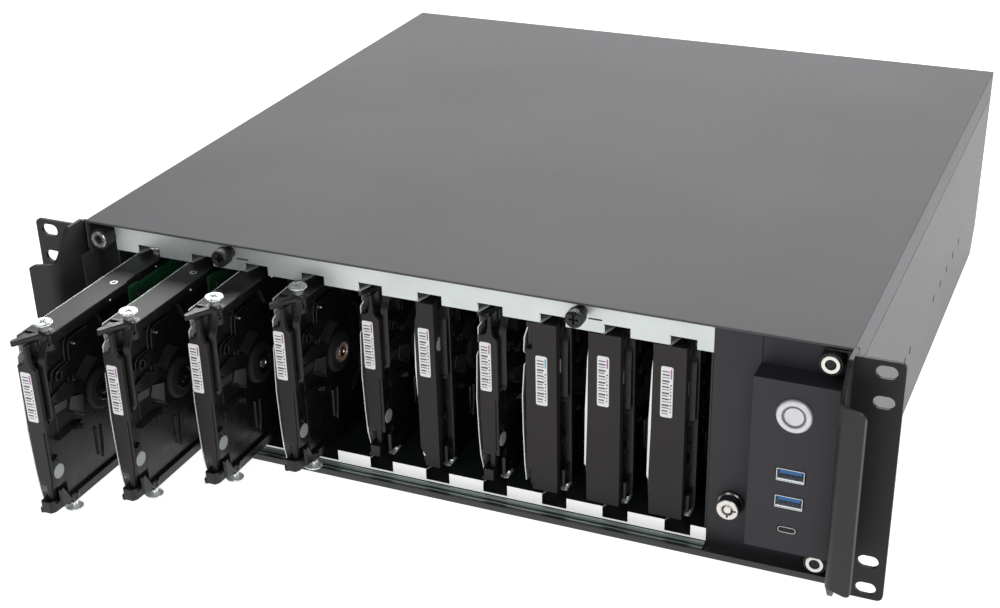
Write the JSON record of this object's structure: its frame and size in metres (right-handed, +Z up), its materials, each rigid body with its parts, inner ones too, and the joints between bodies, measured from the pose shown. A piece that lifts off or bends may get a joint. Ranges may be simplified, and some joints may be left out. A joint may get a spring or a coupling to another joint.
{
  "type": "rack-mount nas enclosure",
  "caption": "Rack-mount network storage enclosure with an open cage of upright disk drives that slide out, a raised port box, lock, side handles and a sliding cover.",
  "frame": {"origin": "middle of the underside of the chassis floor, halfway along the floor's depth", "axes": "+X to the right seen from the front, +Y towards the back, +Z up"},
  "size_m": [0.4826, 0.5396, 0.1325],
  "materials": {
    "cover_paint": "fine-textured black powder coat, satin",
    "body_paint": "fine-textured black powder coat, satin",
    "ear_paint": "fine-textured black powder coat",
    "panel_paint": "black powder coat",
    "black_fastener": "black oxide",
    "zinc_steel": "zinc-plated sheet, dull",
    "supply_steel": "plated sheet",
    "bright_steel": "polished",
    "aluminium": "extruded fins",
    "black_plastic": "moulded",
    "blue_plastic": "moulded",
    "board_green": "solder-masked circuit board",
    "drive_casting": "black coated die casting",
    "drive_steel": "pressed steel lid and zinc screws"
  },
  "bodies": {
    "chassis": {"chassis_tray": "body_paint", "left_ear": "ear_paint", "right_ear": "ear_paint", "left_handle": "ear_paint", "right_handle": "ear_paint", "left_front_strip": "panel_paint", "right_front_panel": "panel_paint", "port_box": "panel_paint", "cage_upper_guide": "zinc_steel", "cage_lower_guide": "zinc_steel", "backplane": "board_green", "fan_wall": "zinc_steel", "fan_frames": "black_plastic", "main_board": "board_green", "memory_modules": "board_green", "processor_cooler": "aluminium", "power_supply": "supply_steel", "mains_inlet": "black_plastic", "io_shield": "zinc_steel", "slot_covers": "zinc_steel", "button_bezel": "bright_steel", "port_shells": "bright_steel", "port_tongues": "blue_plastic", "front_board": "board_green", "lock_barrel": "bright_steel", "door_posts": "black_plastic", "post_rings": "bright_steel", "post_screws": "black_fastener"},
    "cover": {"top_cover": "cover_paint", "cover_screws": "black_fastener"},
    "power_button": {"button_cap": "bright_steel"},
    "lock": {"lock_core": "bright_steel", "lock_cam": "zinc_steel"},
    "fan_1": {"fan_rotor_1": "black_plastic"},
    "fan_2": {"fan_rotor_2": "black_plastic"},
    "fan_3": {"fan_rotor_3": "black_plastic"},
    "supply_fan": {"supply_fan_rotor": "black_plastic"},
    "switch": {"mains_switch": "black_plastic"},
    "thumbscrew_left": {"left_thumbscrew": "black_fastener"},
    "thumbscrew_right": {"right_thumbscrew": "black_fastener"},
    "disk_1": {"drive_1": "drive_casting", "drive_1_lid_and_screws": "drive_steel"},
    "disk_2": {"drive_2": "drive_casting", "drive_2_lid_and_screws": "drive_steel"},
    "disk_3": {"drive_3": "drive_casting", "drive_3_lid_and_screws": "drive_steel"},
    "disk_4": {"drive_4": "drive_casting", "drive_4_lid_and_screws": "drive_steel"},
    "disk_5": {"drive_5": "drive_casting", "drive_5_lid_and_screws": "drive_steel"},
    "disk_6": {"drive_6": "drive_casting", "drive_6_lid_and_screws": "drive_steel"},
    "disk_7": {"drive_7": "drive_casting", "drive_7_lid_and_screws": "drive_steel"},
    "disk_8": {"drive_8": "drive_casting", "drive_8_lid_and_screws": "drive_steel"},
    "disk_9": {"drive_9": "drive_casting", "drive_9_lid_and_screws": "drive_steel"},
    "disk_10": {"drive_10": "drive_casting", "drive_10_lid_and_screws": "drive_steel"}
  },
  "joints": [
    {"name": "cover_slide", "type": "slide", "parent": "chassis", "child": "cover", "axis": [0, 1, 0], "range_m": [0, 0.015]},
    {"name": "power_button_press", "type": "slide", "parent": "chassis", "child": "power_button", "axis": [0, 1, 0], "range_m": [0, 0.0015], "stiffness_N_per_m": 300},
    {"name": "lock_turn", "type": "hinge", "parent": "chassis", "child": "lock", "pos_m": [0.1593, -0.204, 0.03], "axis": [0, 1, 0], "range_deg": [0, 90]},
    {"name": "switch_rock", "type": "hinge", "parent": "chassis", "child": "switch", "pos_m": [-0.185, 0.2071, 0.0702], "axis": [0, 0, 1], "range_deg": [0, 12]},
    {"name": "supply_fan_spin", "type": "hinge", "parent": "chassis", "child": "supply_fan", "pos_m": [-0.108, 0.1961, 0.0452], "axis": [0, 1, 0], "continuous": true},
    {"name": "fan_1_spin", "type": "hinge", "parent": "chassis", "child": "fan_1", "pos_m": [-0.13, -0.0254, 0.063], "axis": [0, 1, 0], "continuous": true},
    {"name": "fan_2_spin", "type": "hinge", "parent": "chassis", "child": "fan_2", "pos_m": [0, -0.0254, 0.063], "axis": [0, 1, 0], "continuous": true},
    {"name": "fan_3_spin", "type": "hinge", "parent": "chassis", "child": "fan_3", "pos_m": [0.13, -0.0254, 0.063], "axis": [0, 1, 0], "continuous": true},
    {"name": "thumbscrew_left_turn", "type": "hinge", "parent": "chassis", "child": "thumbscrew_left", "pos_m": [-0.1252, -0.21, 0.1246], "axis": [0, 1, 0], "continuous": true},
    {"name": "thumbscrew_right_turn", "type": "hinge", "parent": "chassis", "child": "thumbscrew_right", "pos_m": [0.078, -0.21, 0.1246], "axis": [0, 1, 0], "continuous": true},
    {"name": "disk_1_slide", "type": "slide", "parent": "chassis", "child": "disk_1", "axis": [0, -1, 0], "range_m": [-0.114, 0.046]},
    {"name": "disk_2_slide", "type": "slide", "parent": "chassis", "child": "disk_2", "axis": [0, -1, 0], "range_m": [-0.088, 0.072]},
    {"name": "disk_3_slide", "type": "slide", "parent": "chassis", "child": "disk_3", "axis": [0, -1, 0], "range_m": [-0.058, 0.102]},
    {"name": "disk_4_slide", "type": "slide", "parent": "chassis", "child": "disk_4", "axis": [0, -1, 0], "range_m": [-0.031, 0.129]},
    {"name": "disk_5_slide", "type": "slide", "parent": "chassis", "child": "disk_5", "axis": [0, -1, 0], "range_m": [0, 0.16]},
    {"name": "disk_6_slide", "type": "slide", "parent": "chassis", "child": "disk_6", "axis": [0, -1, 0], "range_m": [0, 0.16]},
    {"name": "disk_7_slide", "type": "slide", "parent": "chassis", "child": "disk_7", "axis": [0, -1, 0], "range_m": [0, 0.16]},
    {"name": "disk_8_slide", "type": "slide", "parent": "chassis", "child": "disk_8", "axis": [0, -1, 0], "range_m": [0, 0.16]},
    {"name": "disk_9_slide", "type": "slide", "parent": "chassis", "child": "disk_9", "axis": [0, -1, 0], "range_m": [0, 0.16]},
    {"name": "disk_10_slide", "type": "slide", "parent": "chassis", "child": "disk_10", "axis": [0, -1, 0], "range_m": [0, 0.16]}
  ]
}
